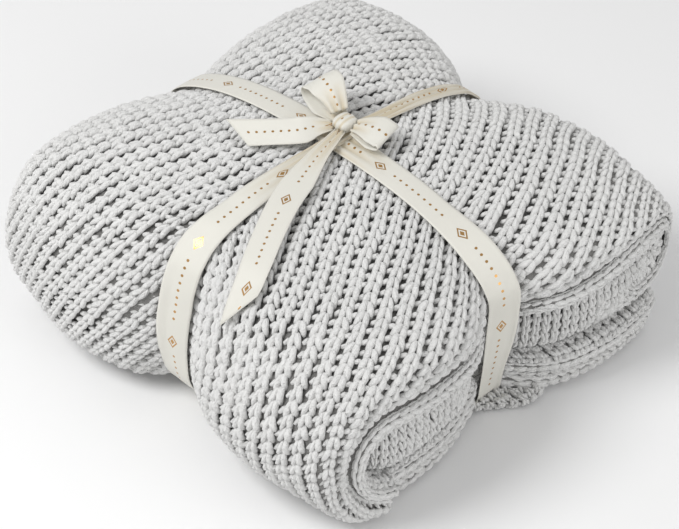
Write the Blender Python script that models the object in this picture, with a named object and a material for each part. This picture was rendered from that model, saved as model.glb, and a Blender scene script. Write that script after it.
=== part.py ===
"""A chunky rib-knit throw, folded into a square bundle and tied crosswise with satin ribbon.

The throw is one piece of cloth.  It is folded across its ribs into a strip of four plies, and
the strip is folded in three along its length, so the bundle is twelve plies high.  One ribbon
goes round the bundle both ways and is tied in a bow on top, which draws the bundle into four
soft lobes.  Metres, +Z up, origin on the floor under the middle of the bundle.  +X runs along
the folded strip, +Y across it.
"""
import math

import bmesh
import bpy
import numpy as np

# ---- the folded cloth, before it is tied
PLY = 0.0115                    # one thickness of knit
PLIES = 4                       # plies in the strip
PACKET = PLY * PLIES            # thickness of the strip
GAP = 0.003                     # air between one run of the strip and the next
HALF_X = 0.2105                 # half the folded length
HALF_Y = 0.204                  # half the strip's width
LIP_PROUD = 0.0045              # how far the cast-off edge stands out of the strip's side
END_LENGTH = PACKET / 2         # the strip's free ends are rounded over this length
STACK = 3 * PACKET + 2 * GAP    # height of the stack

# ---- the ribs
RIB_PITCH = 0.0127              # from one rib to the next, square to them
RIB_DEPTH = 0.0048              # from a rib's crest to the valley beside it
SKEW_NEAR = math.radians(30)    # the top cloth is pulled askew, one way on each side of the tie
SKEW_FAR = math.radians(16)

# ---- how the tie shapes the bundle
CROWN = 0.150                   # the middle of the stack swells by this share of its height
RIM = 0.0725                    # and its rim sinks by this share
CORNER = 0.0915                 # the corners round in by this share
VALLEY_X = 0.129                # reach of the valley beside the ribbon that lies across
VALLEY_Y = 0.134                # reach of the valley beside the ribbon that lies along
PRESS_ALONG = 0.016             # how far the ribbon along presses the top down at the rim
PRESS_ACROSS = 0.0195           # and the ribbon across
PINCH = {"-x": 0.038, "+x": 0.0485, "-y": 0.0315, "+y": 0.0165}   # how far each side is drawn in
LIFT = 0.008                    # room under the bundle where the ribbons pass
LIFT_REACH = 0.075              # and how far that room reaches to each side

# ---- the ribbon
RIBBON = 0.025                  # width
SATIN = 0.0010                  # thickness
CLEAR = 0.0008                  # from the knit's crests to the ribbon
TOUCH = 0.0004                  # from one piece of ribbon to the next


def smooth(t):
    """Goes from 0 to 1 as t does, level at both ends."""
    t = np.clip(t, 0.0, 1.0)
    return t * t * (3.0 - 2.0 * t)


# ------------------------------------------------------------------ the shape of the tied cloth

def valley(distance, reach):
    """1 under a ribbon, falling to 0 at its reach, steepest beside the ribbon."""
    t = np.clip((np.abs(distance) - 0.4 * RIBBON) / (reach - 0.4 * RIBBON), 0.0, 1.0)
    return (1.0 - t) ** 2


def tie(x, y, z):
    """Moves points of the loose stack to where the tied ribbon holds them."""
    across, along = np.minimum(np.abs(x) / HALF_X, 1.1), np.minimum(np.abs(y) / HALF_Y, 1.1)
    level = np.clip(z / STACK, 0.0, 1.0)
    under_x, under_y = valley(x, VALLEY_X), valley(y, VALLEY_Y)
    swell = 1 + CROWN * (1 - across**3) * (1 - along**3) - RIM * np.maximum(across, along) ** 6
    press = PRESS_ACROSS * along**2 * under_x + PRESS_ALONG * across**2 * under_y
    height = (z * swell - press * level**1.2
              + LIFT * np.maximum(valley(x, LIFT_REACH), valley(y, LIFT_REACH))
              * (1 - level) ** 2)
    waist = 1 - 0.35 * (2 * level - 1) ** 2
    pinch_x = np.where(x < 0, PINCH["-x"], PINCH["+x"]) * under_y * across**2 * waist
    pinch_y = np.where(y < 0, PINCH["-y"], PINCH["+y"]) * under_x * along**2 * waist
    rounding = 1 - CORNER * (across * along) ** 2.5
    return (np.sign(x) * (np.abs(x) * rounding - pinch_x),
            np.sign(y) * (np.abs(y) * rounding - pinch_y),
            np.maximum(height, 0.0))


# ------------------------------------------------------------------ the folded strip

MIDDLE_Z = 1.5 * PACKET + GAP
LEFT_X = -HALF_X + 1.5 * PACKET + GAP       # where the outer turn begins, on the -X side
RIGHT_X = HALF_X - (PACKET + GAP / 2)       # where the inner turn begins, on the +X side
INNER_TURN = (PACKET + GAP) / 2             # radii of the strip's middle line in the two turns
OUTER_TURN = PACKET + GAP
TOP_Z = MIDDLE_Z + 2 * INNER_TURN
ENDS = ((0.0, 0.30), (0.10, 0.55), (0.35, 0.84))    # share of END_LENGTH, fullness there


class Station:
    """A place on the strip's middle line, with the shape that its section has there."""

    def __init__(self, x, z, out_x, out_z, full=1.0, depth=0.0, band=0.0, tuck=0.0):
        self.x, self.z, self.out_x, self.out_z = x, z, out_x, out_z
        self.full = full        # share of the full thickness
        self.depth = depth      # depth of the ribs
        self.band = band        # 0: the cast-off edge is innermost, 1: it is outermost
        self.tuck = tuck        # how far the near side is tucked in

    def place(self, y, n):
        """The tied place of a section's point: y across, n towards the fold's outer side."""
        y = y * (0.9 + 0.1 * self.full) + (self.tuck if y < 0 else 0.0) * min(1.0, -y / HALF_Y)
        n = n * self.full
        return tie(self.x + n * self.out_x, y, self.z + n * self.out_z)


def strip_stations():
    """The strip's stations from its inner end to its outer end, folded in three."""
    tuck = 0.010
    end_x = HALF_X - END_LENGTH
    stations = [Station(LEFT_X - END_LENGTH * (1 - d), MIDDLE_Z, 0, -1, full, tuck=tuck)
                for d, full in ENDS]
    for x in np.linspace(LEFT_X, RIGHT_X, 7)[:-1]:
        stations.append(Station(x, MIDDLE_Z, 0, -1, band=smooth((x - 0.09) / 0.06), tuck=tuck))
    for t in np.linspace(0, 1, 9):
        a = math.pi * (t - 0.5)
        stations.append(Station(RIGHT_X + INNER_TURN * math.cos(a),
                                MIDDLE_Z + INNER_TURN * (1 + math.sin(a)),
                                math.cos(a), math.sin(a), depth=RIB_DEPTH * smooth(2 * t),
                                band=1.0, tuck=tuck * (1 - t)))
    for x in (0.145, 0.125, 0.105, 0.085, 0.065, 0.047, 0.030, 0.014, 0.0,
              -0.014, -0.030, -0.047, -0.065, -0.085, -0.105, -0.125):
        stations.append(Station(x, TOP_Z, 0, 1, depth=RIB_DEPTH, band=smooth((x - 0.05) / 0.10)))
    for t in np.linspace(0, 1, 13):
        a = math.pi * (0.5 + t)
        stations.append(Station(LEFT_X + OUTER_TURN * math.cos(a),
                                TOP_Z - OUTER_TURN * (1 - math.sin(a)),
                                math.cos(a), math.sin(a), depth=RIB_DEPTH * smooth(4 * (1 - t))))
    for x in (-0.105, -0.075, -0.047, -0.030, -0.014, 0.0, 0.0145, 0.021, 0.033, 0.045, 0.0515,
              0.078, 0.115):
        stations.append(Station(x, PACKET / 2, 0, -1))
    stations.append(Station(end_x, PACKET / 2, 0, -1))
    stations += [Station(end_x + END_LENGTH * (1 - d), PACKET / 2, 0, -1, full)
                 for d, full in reversed(ENDS)]
    return stations


# ------------------------------------------------------------------ the strip's section

CREASE_TURN = 2.2               # the near side rounds this far, in radians, to its crease
NEAR_COLUMNS = range(-14, 50)   # half ribs from the middle, enough for every station
FAR_COLUMNS = range(-8, 50)
INNER_POINTS = 6                # across the inner face
EDGE_POINTS = 8                 # down the near side, below the crease


def rounded_side(a, radius, side):
    """A point of the ribbed face, a metres from the middle: (y, n, out_y, out_n).

    The face runs flat to the side and rounds down there; side is -1 for the near half.
    """
    flat = HALF_Y - radius
    turn = max(0.0, a - flat) / radius
    sin, cos = math.sin(turn), math.cos(turn)
    return (side * (min(a, flat) + radius * sin), PACKET / 2 - radius * (1 - cos),
            side * sin, cos)


def ribbed_half(radius, turn, side, columns, skew, station):
    """One ribbed half from the middle outward, as (key, y, n).

    The ribs run askew, so they shift along the section from station to station.  A rib past
    the middle or past the end of the half stops there, and shares the key of that place.
    """
    step = RIB_PITCH / math.cos(skew) / 2
    reach = HALF_Y - radius + radius * turn
    shift = math.tan(skew) * min(max(station.x, LEFT_X), RIGHT_X)
    points = []
    for column in columns:
        a, key, depth = column * step - shift, (side, column), station.depth * (column % 2)
        if a < 0.3 * step:
            a, key, depth = 0.0, "middle", 0.0
        elif a > reach - 0.3 * step:
            a, key, depth = reach, (side, "end"), 0.0
        y, n, out_y, out_n = rounded_side(a, radius, side)
        points.append((key, y - depth * out_y, n - depth * out_n))
    return points


def section(station):
    """The strip's closed section at a station, as (key, y, n), from the near crease over the
    ribbed face to the far side, back along the inner face, and round the cast-off edge."""
    half = PACKET / 2
    crease_n = -half + PLY + station.band * (PACKET - PLY - 0.012)
    near_radius = (half - crease_n) / 2
    near = ribbed_half(near_radius, CREASE_TURN, -1, NEAR_COLUMNS, SKEW_NEAR, station)
    far = ribbed_half(half, math.pi, 1, FAR_COLUMNS, SKEW_FAR, station)
    points = near[::-1] + far
    for k, y in enumerate(np.linspace(HALF_Y - half - 0.02, -HALF_Y + 0.04, INNER_POINTS)):
        points.append((("inner", k), y, -half))
    nose_n = max(near[-1][2] - 0.6 * PLY, -half + PLY / 2)
    below = nose_n - PLY / 2 + half         # what is left of the side under the edge
    share = below / PACKET
    for k, (inset, drop) in enumerate(((0.024, 1.0), (0.014 - 0.008 * share, 0.6),
                                       (0.010, 0.1))):
        points.append((("under", k), -HALF_Y + inset, nose_n - PLY / 2 - below * drop))
    for k, degrees in enumerate((170, 135, 100, 65, 30)):
        a = math.radians(degrees)
        points.append((("lip", k), -HALF_Y - LIP_PROUD + PLY / 2 * (1 - math.sin(a)),
                       nose_n + PLY / 2 * math.cos(a)))
    return points


def flat_end(mesh, ring):
    mesh.faces.new(ring)


def cloth_end(mesh, ring):
    """Fills a free end of the strip in narrow triangles, from its ribbed to its inner face."""
    over, under = ring[:-EDGE_POINTS - INNER_POINTS], ring[:-EDGE_POINTS - INNER_POINTS - 1:-1]
    while len(over) + len(under) > 2:
        if len(over) == 1 or len(under) > INNER_POINTS or (
                len(under) > 1 and under[1].co.y < over[1].co.y):
            mesh.faces.new((over[0], under[0], under[1]))
            del under[0]
        else:
            mesh.faces.new((over[0], under[0], over[1]))
            del over[0]


def loft(rings, end=None):
    """A mesh through rings of (key, point); points of a ring that share a key are one.

    The rings' row is closed into a loop, or filled at both ends by end.
    """
    mesh = bmesh.new()
    grid = []
    for ring in rings:
        made = {key: mesh.verts.new(point) for key, point in dict(ring).items()}
        grid.append([made[key] for key, _ in ring])
    for this, after in zip(grid, grid[1:] if end else grid[1:] + grid[:1]):
        for k in range(len(this)):
            m = (k + 1) % len(this)
            corners = list(dict.fromkeys((this[k], this[m], after[m], after[k])))
            if len(corners) > 2:
                mesh.faces.new(corners)
    if end:
        for ring in (grid[0], grid[-1]):
            end(mesh, list(dict.fromkeys(ring)))
    bmesh.ops.recalc_face_normals(mesh, faces=mesh.faces)
    if mesh.calc_volume(signed=True) < 0:
        bmesh.ops.reverse_faces(mesh, faces=mesh.faces)
    return mesh


def finish(name, mesh, colour, roughness, smooth_angle):
    """Makes an object of a mesh, with its own material."""
    data = bpy.data.meshes.new(name)
    mesh.to_mesh(data)
    mesh.free()
    data.shade_smooth()
    data.set_sharp_from_angle(angle=math.radians(smooth_angle))
    material = bpy.data.materials.new(name)
    material.use_nodes = True
    shader = material.node_tree.nodes["Principled BSDF"]
    shader.inputs["Base Color"].default_value = (*colour, 1)
    shader.inputs["Roughness"].default_value = roughness
    shader.inputs["Metallic"].default_value = 0.0
    data.materials.append(material)
    thing = bpy.data.objects.new(name, data)
    bpy.context.scene.collection.objects.link(thing)
    return thing


# ------------------------------------------------------------------ the throw

TAB = {"x": 0.033, "half": 0.018, "out": 0.014, "thick": 0.012}   # a corner of the bottom ply


def poke_out(x, y, z):
    """Lets a corner of the bottom ply stand out beside the ribbon, on the near side."""
    share = min(1.0, max(0.0, TAB["half"] - abs(x - TAB["x"])) / 0.006) * (z < TAB["thick"])
    return x, y - TAB["out"] * share * smooth((-y - 0.11) / 0.04), z


def make_throw():
    stations = strip_stations()
    rings = [[(key, poke_out(*map(float, st.place(y, n)))) for key, y, n in section(st)]
             for st in stations]
    return finish("throw", loft(rings, cloth_end), (0.62, 0.61, 0.59), 0.95, 50)


# ------------------------------------------------------------------ the ribbon

CREAM = (0.86, 0.83, 0.75)


def hull(points):
    """The convex hull of 2-D points, anticlockwise."""
    points = sorted(set(points))

    def chain(run):
        kept = []
        for p in run:
            while len(kept) > 1 and ((kept[-1][0] - kept[-2][0]) * (p[1] - kept[-2][1])
                                     <= (kept[-1][1] - kept[-2][1]) * (p[0] - kept[-2][0])):
                kept.pop()
            kept.append(p)
        return kept[:-1]
    return chain(points) + chain(points[::-1])


def thin_out(loop, slack, span):
    """Fewer points of a convex loop: chords up to span long, within slack of every point."""
    kept, k = [loop[0]], 0
    while k < len(loop) - 1:
        m = k + 1
        while m + 1 < len(loop) and math.dist(loop[k], loop[m + 1]) < span:
            chord = np.subtract(loop[m + 1], loop[k])
            chord = chord / np.linalg.norm(chord)
            offs = [abs(chord[0] * (p[1] - loop[k][1]) - chord[1] * (p[0] - loop[k][0]))
                    for p in loop[k + 1:m + 1]]
            if max(offs) > slack:
                break
            m += 1
        kept.append(loop[m])
        k = m
    return kept


def resample(loop, span):
    """Splits a loop's sides that are longer than span."""
    made = []
    for p, after in zip(loop, loop[1:] + loop[:1]):
        parts = math.ceil(math.dist(p, after) / span)
        made += [(p[0] + (after[0] - p[0]) * k / parts, p[1] + (after[1] - p[1]) * k / parts)
                 for k in range(parts)]
    return made


def grow(loop, by):
    """Moves a convex loop's points outward by a distance."""
    grown = []
    for before, p, after in zip(loop[-1:] + loop[:-1], loop, loop[1:] + loop[:1]):
        out = np.zeros(2)
        for a, b in ((before, p), (p, after)):
            edge = np.subtract(b, a) / math.dist(a, b)
            out += (edge[1], -edge[0])
        out /= np.linalg.norm(out)
        grown.append((p[0] + by * out[0], p[1] + by * out[1]))
    return grown


def outline_under(throw, axis, extra=()):
    """The throw's outline under a ribbon, in the plane across axis, with extra points."""
    points = list(extra)
    half = 0.5 * RIBBON + 0.001
    for edge in throw.data.edges:
        a, b = (throw.data.vertices[k].co for k in edge.vertices)
        inside = [t for t in (0.0, 1.0) if abs((a, b)[int(t)][axis]) <= half]
        for bound in (-half, half):
            if (a[axis] - bound) * (b[axis] - bound) < 0:
                inside.append((bound - a[axis]) / (b[axis] - a[axis]))
        points += [(p[1 - axis], p.z) for p in (a.lerp(b, t) for t in inside)]
    return resample(thin_out(hull(points), 0.0002, 0.02), 0.012)


def narrowed(across):
    """The ribbon's width along the bundle: gathered at the knot, creased lengthwise beyond."""
    gathered = 1 - 0.38 * smooth(1 - abs(across) / 0.045)
    creased = 1 - 0.40 * smooth((across - 0.01) / 0.03)
    return RIBBON * min(gathered, creased)


def make_band(name, axis, loop, width):
    """A taut ribbon all round the bundle, in the plane across axis, outside a convex loop."""
    inner, outer = grow(loop, CLEAR), grow(loop, CLEAR + SATIN)
    rings = []
    for (a, za), (b, zb) in zip(inner, outer):
        on_top = smooth((za - 0.5 * STACK) / (0.4 * STACK))
        half = 0.5 * (RIBBON + (width(a) - RIBBON) * on_top)
        corners = ((-half, a, za), (half, a, za), (half, b, zb), (-half, b, zb))
        rings.append([(k, (side, run, z) if axis == 0 else (run, side, z))
                      for k, (side, run, z) in enumerate(corners)])
    finish(name, loft(rings), CREAM, 0.35, 30)
    return outer


def curve_through(points, steps):
    """A smooth curve through points (Catmull-Rom), as a list of arrays."""
    points = [np.array(p, float) for p in points]
    padded = [2 * points[0] - points[1]] + points + [2 * points[-1] - points[-2]]
    made = []
    for p0, p1, p2, p3 in zip(padded, padded[1:], padded[2:], padded[3:]):
        for t in np.arange(steps) / steps:
            made.append(0.5 * (2 * p1 + (p2 - p0) * t + (2 * p0 - 5 * p1 + 4 * p2 - p3) * t**2
                               + (3 * p1 - p0 - 3 * p2 + p3) * t**3))
    return made + [points[-1]]


def make_strip(name, centres, sideways, widths, cut=0.0):
    """A length of ribbon: its centre line, the way across it at each point, and its widths.

    The last end is cut askew, one edge running on by cut and the other stopping short by it.
    """
    rings = []
    for i, (centre, side, width) in enumerate(zip(centres, sideways, widths)):
        run = centres[min(i + 1, len(centres) - 1)] - centres[max(i - 1, 0)]
        run = run / np.linalg.norm(run)
        side = side - run * (side @ run)
        side = side / np.linalg.norm(side)
        face = np.cross(run, side) * SATIN / 2
        half = side * width / 2 + run * cut * (i == len(centres) - 1)
        rings.append([(k, tuple(p)) for k, p in enumerate(
            (centre - half - face, centre + half - face, centre + half + face,
             centre - half + face))])
    finish(name, loft(rings, flat_end), CREAM, 0.35, 30)


KNOT_AT = (0.0105, 0.0045)
KNOT_HALF = (0.0090, 0.0085, 0.0060)


def make_knot(top_z):
    """The knot, pulled tight, flat where it sits on the ribbon below."""
    mesh = bmesh.new()
    bmesh.ops.create_uvsphere(mesh, u_segments=20, v_segments=12, radius=1.0)
    for v in mesh.verts:
        x, y, z = (math.copysign(abs(c) ** 0.8, c) for c in v.co)
        v.co = (KNOT_AT[0] + KNOT_HALF[0] * x, KNOT_AT[1] + KNOT_HALF[1] * y,
                top_z + KNOT_HALF[2] * (1 + max(z, -0.9)) - 0.1 * KNOT_HALF[2])
    finish("bow_knot", mesh, CREAM, 0.35, 60)


# A loop seen from its side: share of its length out from the knot, share of its height up.
LOOP_SIDE = ((0.0, 0.30), (0.30, 0.80), (0.70, 1.00), (1.00, 0.66), (0.94, 0.20), (0.55, 0.0),
             (0.0, 0.0))


def make_loop(name, top_z, heading, length, height, lean):
    """A loop of the bow: out along heading from the knot, over, and back beneath."""
    out = np.array((math.cos(heading), math.sin(heading), 0.0))
    side = np.array((-out[1], out[0], lean))
    centre = np.array((*KNOT_AT, top_z + 0.0055))
    start = KNOT_HALF[1] + 0.0006
    path = curve_through([centre + out * (start + (length - start) * r)
                          + np.array((0, 0, height * h)) for r, h in LOOP_SIDE], 4)
    spread = [min(1.0, np.linalg.norm((p - centre)[:2]) / 0.028) for p in path]
    make_strip(name, path, [side] * len(path), [RIBBON * (0.3 + 0.8 * s) for s in spread])


def skin(run, y, off):
    """A place off the top of the tied throw, run metres towards -X from the middle."""
    radius = OUTER_TURN + PACKET / 2
    turn = max(0.0, run + LEFT_X) / radius
    x = -min(run, -LEFT_X) - (radius + off) * math.sin(turn)
    z = TOP_Z - OUTER_TURN + (radius + off) * math.cos(turn)
    return np.array([float(v) for v in tie(x, y, z)])


# The tail that hangs over the front: run from the middle, y, height off the knit.
FRONT_TAIL = ((-0.0017, 0.0005, 0.0080), (0.030, -0.008, 0.0065), (0.056, -0.017, 0.0055),
              (0.088, -0.029, 0.0050), (0.120, -0.045, 0.0045), (0.150, -0.062, 0.0040),
              (0.172, -0.072, 0.0040))


def make_front_tail():
    rows = curve_through(FRONT_TAIL, 4)
    centres = [skin(*row) for row in rows]
    sideways = [skin(run, y + 0.01, off) - skin(run, y - 0.01, off) for run, y, off in rows]
    widths = [RIBBON * min(1.0, 0.35 + 0.65 * i / 9) for i in range(len(centres))]
    make_strip("bow_tail_front", centres, sideways, widths, cut=0.013)


# The short tail: x, y, height over the crossing of the ribbons.
LEFT_TAIL = ((0.0024, 0.0098, 0.0050), (-0.008, 0.017, 0.0065), (-0.019, 0.023, 0.0060),
             (-0.034, 0.040, 0.0045), (-0.050, 0.058, 0.0025))


def make_left_tail(top_z):
    centres = curve_through([np.array((x, y, top_z + z)) for x, y, z in LEFT_TAIL], 4)
    sideways = [np.array((0.76, 0.65, 0.0))] * len(centres)
    widths = [RIBBON * min(1.0, 0.35 + 0.65 * i / 7) for i in range(len(centres))]
    make_strip("bow_tail_left", centres, sideways, widths, cut=0.009)


def make_ribbon(throw):
    across = make_band("ribbon_across", 0, outline_under(throw, 0), lambda run: RIBBON)
    heights = [z for _, z in across]
    crossings = [(x, z) for x in (-0.5 * RIBBON - 0.001, 0.5 * RIBBON + 0.001)
                 for z in (max(heights) + TOUCH - CLEAR, min(heights) - TOUCH + CLEAR)]
    along = make_band("ribbon_along", 1, outline_under(throw, 1, crossings), narrowed)
    top_z = max(z for x, z in along) + TOUCH
    make_knot(top_z)
    make_loop("bow_loop_upper", top_z, math.radians(78), 0.042, 0.016, -0.35)
    make_loop("bow_loop_right", top_z, math.radians(-76), 0.038, 0.010, 0.25)
    make_left_tail(top_z)
    make_front_tail()


for thing in list(bpy.data.objects):
    bpy.data.objects.remove(thing)
make_ribbon(make_throw())
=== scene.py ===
import math

import bmesh
import bpy
import numpy as np
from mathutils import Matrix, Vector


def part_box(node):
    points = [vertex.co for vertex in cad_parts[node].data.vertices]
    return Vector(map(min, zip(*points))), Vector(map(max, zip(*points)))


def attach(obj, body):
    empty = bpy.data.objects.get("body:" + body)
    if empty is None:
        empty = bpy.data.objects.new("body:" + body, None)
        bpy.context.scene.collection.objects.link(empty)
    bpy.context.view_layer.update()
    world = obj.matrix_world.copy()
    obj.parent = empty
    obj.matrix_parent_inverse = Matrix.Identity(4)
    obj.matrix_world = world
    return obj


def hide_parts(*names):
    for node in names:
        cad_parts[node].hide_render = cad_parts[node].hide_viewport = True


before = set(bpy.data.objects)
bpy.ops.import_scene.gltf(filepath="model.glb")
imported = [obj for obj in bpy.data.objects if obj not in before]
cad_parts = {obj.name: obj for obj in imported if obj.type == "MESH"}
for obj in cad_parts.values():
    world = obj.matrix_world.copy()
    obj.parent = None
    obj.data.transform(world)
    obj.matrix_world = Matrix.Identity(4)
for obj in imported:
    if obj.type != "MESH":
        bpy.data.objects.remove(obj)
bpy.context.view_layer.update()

# ---------------------------------------------------------------------------------------------
# The throw's cloth: one piece of rib knit, folded across its ribs into a strip of four plies,
# and the strip in three, with a middle, a top and a bottom run, a small turn at +X and a big
# one at -X.  The tied ribbon draws the soft stack in at each side, so it swells into four lobes.

PLY = 0.0115
PACKET = 4 * PLY                # four plies, one run of the strip
GAP = 0.003                     # between two runs
HALF_X, HALF_Y = 0.2105, 0.204  # half the loose stack's length and width
LIP_PROUD = 0.0045              # how far the cast-off edge stands out of the -Y side
STITCH_DEPTH = 0.0072           # from the stitches' outside to the cloth behind them
STACK = 3 * PACKET + 2 * GAP
CREASE_TURN = 2.2               # the outer ply's turn, in radians, down to the cast-off edge
RIBBON = 0.025                  # the width of the satin

# What the tie does: how much the middle swells, the rim sinks and the corners come in, how far
# the valleys reach from the ribbon, how deep it presses the rim down and draws each side in,
# how far and where it lifts the underside, and then the bite, droop and spread of settle().
CROWN, RIM, CORNER = 0.150, 0.0725, 0.0915
VALLEY_X, VALLEY_Y = 0.129, 0.134
PRESS_ALONG, PRESS_ACROSS = 0.016, 0.0195
PINCH = {"-x": 0.038, "+x": 0.0485, "-y": 0.0315, "+y": 0.0165}
LIFT, LIFT_REACH = 0.008, 0.075
BITE, DROOP, SPREAD = 0.010, (0.008, 0.085), 0.015

# The ribbon's deeper bite on the -X and -Y sides: the height, and how far it draws in there.
LEFT_BITE = ((0.01, 0.0), (0.05, 0.006), (0.10, 0.008), (0.15, 0.003))
NEAR_BITE = ((0.0, 0.022), (0.05, 0.017), (0.10, 0.014), (0.15, 0.006))

MIDDLE_Z = 1.5 * PACKET + GAP
LEFT_X = -HALF_X + 1.5 * PACKET + GAP
RIGHT_X = HALF_X - (PACKET + GAP / 2)
INNER_TURN = (PACKET + GAP) / 2
OUTER_TURN = PACKET + GAP
TOP_Z = MIDDLE_Z + 2 * INNER_TURN
END_LENGTH = PACKET / 2         # over which the strip's ends thin out
TUCK = 0.003                    # how far the middle run's -Y side lies in


def smooth(t):
    t = np.clip(t, 0.0, 1.0)
    return t * t * (3.0 - 2.0 * t)


def valley(distance, reach):
    """How much a place beside the ribbon is held down: 1 under it, and 0 from reach on."""
    t = np.clip((np.abs(distance) - 0.4 * RIBBON) / (reach - 0.4 * RIBBON), 0.0, 1.0)
    return (1.0 - t) ** 2


def tie(x, y, z):
    """Moves points of the loose stack to where the tied ribbon holds them."""
    across, along = np.minimum(np.abs(x) / HALF_X, 1.1), np.minimum(np.abs(y) / HALF_Y, 1.1)
    level = np.clip(z / STACK, 0.0, 1.0)
    under_x, under_y = valley(x, VALLEY_X), valley(y, VALLEY_Y)
    swell = 1 + CROWN * (1 - across**3) * (1 - along**3) - RIM * np.maximum(across, along) ** 6
    press = PRESS_ACROSS * along**2 * under_x + PRESS_ALONG * across**2 * under_y
    height = (z * swell - press * level**1.2
              + LIFT * np.maximum(valley(x, LIFT_REACH), valley(y, LIFT_REACH))
              * (1 - level) ** 2)
    waist = 1 - 0.35 * (2 * level - 1) ** 2
    pinch_x = np.where(x < 0, PINCH["-x"], PINCH["+x"]) * under_y * across**2 * waist
    pinch_y = np.where(y < 0, PINCH["-y"], PINCH["+y"]) * under_x * along**2 * waist
    rounding = 1 - CORNER * (across * along) ** 2.5
    return settle(np.stack((np.sign(x) * (np.abs(x) * rounding - pinch_x),
                            np.sign(y) * (np.abs(y) * rounding - pinch_y),
                            np.maximum(height, 0.0)), -1))


def settle(points):
    """How the tied bundle has settled: the ribbon bites deeper at +X, -X and -Y, the corner
    at +X and -Y droops, and the -X side spreads on the floor."""
    x, y, z = np.moveaxis(points, -1, 0)
    right = smooth((x - 0.04) / 0.15)
    droop = right * np.clip(-y / 0.195, 0.0, 1.0) ** 1.7
    spread = (smooth((-x - 0.12) / 0.05) * smooth((y - 0.010) / 0.03)
              * smooth((0.16 - y) / 0.09) * (1 - smooth(z / 0.075)))
    left_bite = (smooth((-x - 0.04) / 0.12) * valley(y + 0.004, 0.06)
                 * np.interp(z, *zip(*LEFT_BITE)))
    near_bite = smooth((-y - 0.03) / 0.12) * valley(x, 0.06) * np.interp(z, *zip(*NEAR_BITE))
    return np.stack((x - BITE * right * valley(y, 0.07) - DROOP[0] * droop - SPREAD * spread
                     + left_bite, y + near_bite, z * (1 - DROOP[1] * droop)), -1)


class Strip:
    """The folded strip's middle line, as columns of stations about 6 mm apart."""

    def __init__(self):
        runs = []

        def run(name, x, z, out_x, out_z):
            count = len(x)
            runs.append([np.broadcast_to(v, count).astype(float) for v in (x, z, out_x, out_z)]
                        + [np.full(count, name)])

        run("middle", np.linspace(LEFT_X - END_LENGTH, RIGHT_X, 54)[:-1], MIDDLE_Z, 0, -1)
        a = math.pi * (np.linspace(0, 1, 15) - 0.5)
        run("inner turn", RIGHT_X + INNER_TURN * np.cos(a),
            MIDDLE_Z + INNER_TURN * (1 + np.sin(a)), np.cos(a), np.sin(a))
        run("top", np.linspace(RIGHT_X, LEFT_X, 50)[1:-1], TOP_Z, 0, 1)
        a = math.pi * (0.5 + np.linspace(0, 1, 29))
        run("outer turn", LEFT_X + OUTER_TURN * np.cos(a),
            TOP_Z - OUTER_TURN * (1 - np.sin(a)), np.cos(a), np.sin(a))
        run("bottom", np.linspace(LEFT_X, HALF_X, 58)[1:], PACKET / 2, 0, -1)
        self.x, self.z, self.out_x, self.out_z, self.run = (
            np.concatenate(column) for column in zip(*runs))
        steps = np.hypot(np.diff(self.x), np.diff(self.z))
        self.path = np.concatenate(([0.0], np.cumsum(steps)))
        ends = np.minimum(self.path, self.path[-1] - self.path) / END_LENGTH
        self.full = np.interp(ends, (0, 0.1, 0.35, 1), (0.30, 0.55, 0.84, 1))
        rise = (self.z - MIDDLE_Z) / (TOP_Z - MIDDLE_Z)
        self.tuck = TUCK * np.where(np.isin(self.run, ("middle", "inner turn")), 1 - rise, 0.0)
        band = np.where(self.run == "middle", smooth((self.x - 0.09) / 0.06),
                        smooth((self.x - 0.05) / 0.10))
        self.band = np.where(self.run == "inner turn", 1.0,
                             np.where(np.isin(self.run, ("middle", "top")), band, 0.0))
        self.crease = -PACKET / 2 + PLY + self.band * (PACKET - PLY - 0.012)
        self.near_radius = (PACKET / 2 - self.crease) / 2
        self.nose = np.maximum(
            PACKET / 2 - self.near_radius * (1 - math.cos(CREASE_TURN)) - 0.6 * PLY,
            -PACKET / 2 + PLY / 2)      # the level of the cast-off edge
        self.proud = np.where(self.run == "middle",
                              np.interp(self.band, (0.3, 0.9), (-0.010, LIP_PROUD)), LIP_PROUD)

    def first(self, name):
        """The path's length to where a run begins."""
        return self.path[np.argmax(self.run == name)]

    def place(self, y, n):
        """Tied places of a grid of points, one row per station: y across, n outward."""
        full = self.full[:, None]
        y = y * (0.9 + 0.1 * full) + np.where(
            y < 0, self.tuck[:, None] * np.minimum(1.0, -y / HALF_Y), 0.0)
        n = n * full
        x, y = self.ease(self.x[:, None] + n * self.out_x[:, None], y,
                         (self.run == "bottom")[:, None])
        return tie(x, y, self.z[:, None] + n * self.out_z[:, None])

    def ease(self, x, y, low):
        """The bottom run's -Y side, where low is 1, drawn in beside the ribbon and at +X."""
        low = low * smooth((-y - 0.07) / 0.13)
        hollow = smooth((x + 0.20) / 0.07) * smooth((-0.010 - x) / 0.03)
        return x - 0.022 * low * smooth((x - 0.08) / 0.13), y + 0.013 * low * hollow


strip = Strip()


def rounded_side(a, radius, side):
    """Where a metre a from the middle of the ribbed face lies: (y, n)."""
    flat = HALF_Y - radius
    turn = np.maximum(0.0, a - flat) / radius
    return (side * (np.minimum(a, flat) + radius * np.sin(turn)),
            PACKET / 2 - radius * (1 - np.cos(turn)))


def grid_mesh(name, points, flip=False):
    """A mesh through a grid of points, with its faces turned over where flip says so."""
    rows, columns = points.shape[:2]
    k = np.arange(rows * columns).reshape(rows, columns)
    faces = np.stack((k[:-1, :-1], k[:-1, 1:], k[1:, 1:], k[1:, :-1]), -1).reshape(-1, 4)
    mesh = bpy.data.meshes.new(name)
    mesh.from_pydata(points.reshape(-1, 3), [], faces[:, ::-1] if flip else faces)
    mesh.shade_smooth()
    return mesh


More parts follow.
